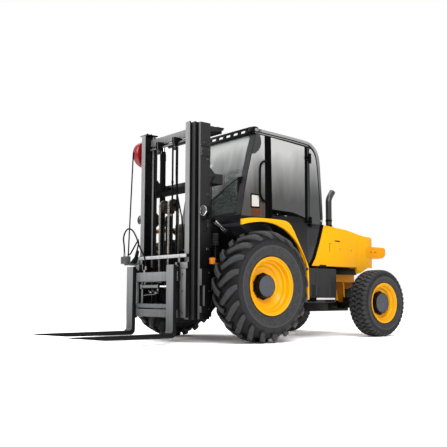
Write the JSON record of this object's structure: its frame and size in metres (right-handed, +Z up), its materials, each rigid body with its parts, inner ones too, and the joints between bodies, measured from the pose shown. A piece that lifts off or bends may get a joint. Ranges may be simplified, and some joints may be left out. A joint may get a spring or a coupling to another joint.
{
  "type": "rough terrain forklift",
  "caption": "Rough terrain forklift with a three-stage mast, enclosed cab, large driven front wheels and small steered rear wheels.",
  "frame": {"origin": "on the ground, below the middle of the machine's overall length and width", "axes": "+X forwards along the forks, +Y to the driver's left, +Z up"},
  "size_m": [4.636, 2.04, 2.4999],
  "materials": {
    "yellow_paint": "gloss machine yellow enamel",
    "black_paint": "satin black enamel",
    "charcoal_paint": "satin charcoal enamel",
    "steel": "bright worked steel",
    "rod_chrome": "hard chrome plating",
    "tyre_rubber": "matt black rubber",
    "red_paint": "gloss red enamel",
    "tinted_glass": "grey tinted safety glass",
    "seat_fabric": "black woven seat cover",
    "black_plastic": "grained black plastic",
    "engine_grey": "painted casting",
    "hose_rubber": "black hose cover"
  },
  "bodies": {
    "chassis": {"chassis_frame": "black_paint", "mast_mounts": "black_paint", "grab_handles": "black_paint", "front_axle": "black_paint", "rear_axle": "black_paint", "rear_axle_mount": "yellow_paint", "engine_block": "engine_grey", "fuel_tank": "charcoal_paint", "hydraulic_tank": "charcoal_paint", "steps": "black_paint", "side_panels": "yellow_paint", "counterweight": "yellow_paint", "exhaust_stack": "black_paint", "fender_left": "yellow_paint", "fender_right": "yellow_paint", "cab_frame": "charcoal_paint", "cab_base": "charcoal_paint", "cab_roof": "charcoal_paint", "windscreen": "tinted_glass", "rear_window": "tinted_glass", "side_windows": "tinted_glass", "seat_pedestal": "black_plastic", "seat": "seat_fabric", "dashboard": "black_plastic", "steering_wheel": "black_plastic"},
    "bonnet_lid": {"bonnet": "yellow_paint"},
    "door": {"door_left": "charcoal_paint", "door_glass": "tinted_glass"},
    "front_wheel_left": {"front_tyre_left": "tyre_rubber", "front_rim_left": "yellow_paint"},
    "front_wheel_right": {"front_tyre_right": "tyre_rubber", "front_rim_right": "yellow_paint"},
    "knuckle_left": {"rear_knuckle_left": "black_paint"},
    "knuckle_right": {"rear_knuckle_right": "black_paint"},
    "rear_wheel_left": {"rear_tyre_left": "tyre_rubber", "rear_rim_left": "yellow_paint"},
    "rear_wheel_right": {"rear_tyre_right": "tyre_rubber", "rear_rim_right": "yellow_paint"},
    "outer_mast": {"mast_outer": "black_paint", "lift_cylinders": "black_paint", "headlamps": "black_paint"},
    "middle_mast": {"mast_middle": "black_paint", "lift_rods": "rod_chrome"},
    "inner_mast": {"mast_inner": "black_paint", "free_lift_cylinder": "black_paint", "hose_reel": "red_paint"},
    "lift_head": {"free_lift_head": "black_paint", "lift_chains_back": "steel", "reel_hose_upper": "hose_rubber"},
    "fork_carriage": {"carriage": "black_paint", "forks": "black_paint", "lift_chains_front": "steel", "carriage_hose": "hose_rubber", "reel_hose_lower": "hose_rubber"},
    "tilt_barrels": {"tilt_cylinder_barrels": "black_paint"},
    "tilt_rods": {"tilt_cylinder_rods": "rod_chrome"}
  },
  "joints": [
    {"name": "front_wheel_left_spin", "type": "hinge", "parent": "chassis", "child": "front_wheel_left", "pos_m": [0.232, 0.823, 0.615], "axis": [0, 1, 0], "continuous": true},
    {"name": "front_wheel_right_spin", "type": "hinge", "parent": "chassis", "child": "front_wheel_right", "pos_m": [0.232, -0.823, 0.615], "axis": [0, 1, 0], "continuous": true},
    {"name": "rear_steer_left", "type": "hinge", "parent": "chassis", "child": "knuckle_left", "pos_m": [-1.781, 0.69, 0.424], "axis": [0, 0, 1], "range_deg": [-50, 50]},
    {"name": "rear_steer_right", "type": "hinge", "parent": "chassis", "child": "knuckle_right", "pos_m": [-1.781, -0.69, 0.424], "axis": [0, 0, 1], "range_deg": [-50, 50]},
    {"name": "rear_wheel_left_spin", "type": "hinge", "parent": "knuckle_left", "child": "rear_wheel_left", "pos_m": [-1.781, 0.82, 0.424], "axis": [0, 1, 0], "continuous": true},
    {"name": "rear_wheel_right_spin", "type": "hinge", "parent": "knuckle_right", "child": "rear_wheel_right", "pos_m": [-1.781, -0.82, 0.424], "axis": [0, 1, 0], "continuous": true},
    {"name": "mast_tilt", "type": "hinge", "parent": "chassis", "child": "outer_mast", "pos_m": [0.677, 0, 0.43], "axis": [0, 1, 0], "range_deg": [-10, 12]},
    {"name": "mast_extend", "type": "slide", "parent": "outer_mast", "child": "middle_mast", "axis": [0, 0, 1], "range_m": [0, 1.45]},
    {"name": "mast_inner_extend", "type": "slide", "parent": "middle_mast", "child": "inner_mast", "axis": [0, 0, 1], "range_m": [0, 1.45]},
    {"name": "free_lift", "type": "slide", "parent": "inner_mast", "child": "lift_head", "axis": [0, 0, 1], "range_m": [0, 0.62], "deforming": ["lift_chains_back", "reel_hose_upper"]},
    {"name": "carriage_lift", "type": "slide", "parent": "lift_head", "child": "fork_carriage", "axis": [0, 0, 1], "range_m": [0, 0.62], "deforming": ["lift_chains_front", "reel_hose_lower"]},
    {"name": "tilt_barrels_swing", "type": "hinge", "parent": "chassis", "child": "tilt_barrels", "pos_m": [-0.068, 0, 0.86], "axis": [0, 1, 0], "range_deg": [-6.3, 7.56]},
    {"name": "tilt_rods_slide", "type": "slide", "parent": "tilt_barrels", "child": "tilt_rods", "axis": [0.8087, 0, 0.5882], "range_m": [-0.1362, 0.1634]},
    {"name": "door_swing", "type": "hinge", "parent": "chassis", "child": "door", "pos_m": [-0.798, 0.59, 1.6], "axis": [0, 0, 1], "range_deg": [0, 100]},
    {"name": "bonnet_lift", "type": "hinge", "parent": "chassis", "child": "bonnet_lid", "pos_m": [-1.838, 0, 1.316], "axis": [0, -1, 0], "range_deg": [0, 65]}
  ],
  "couplings": [
    {"joint": "rear_steer_right", "follows": "rear_steer_left", "ratio": 1},
    {"joint": "mast_inner_extend", "follows": "mast_extend", "ratio": 1},
    {"joint": "carriage_lift", "follows": "free_lift", "ratio": 1},
    {"joint": "tilt_barrels_swing", "follows": "mast_tilt", "ratio": 0.6295},
    {"joint": "tilt_rods_slide", "follows": "mast_tilt", "m_per_rad": 0.7793}
  ]
}
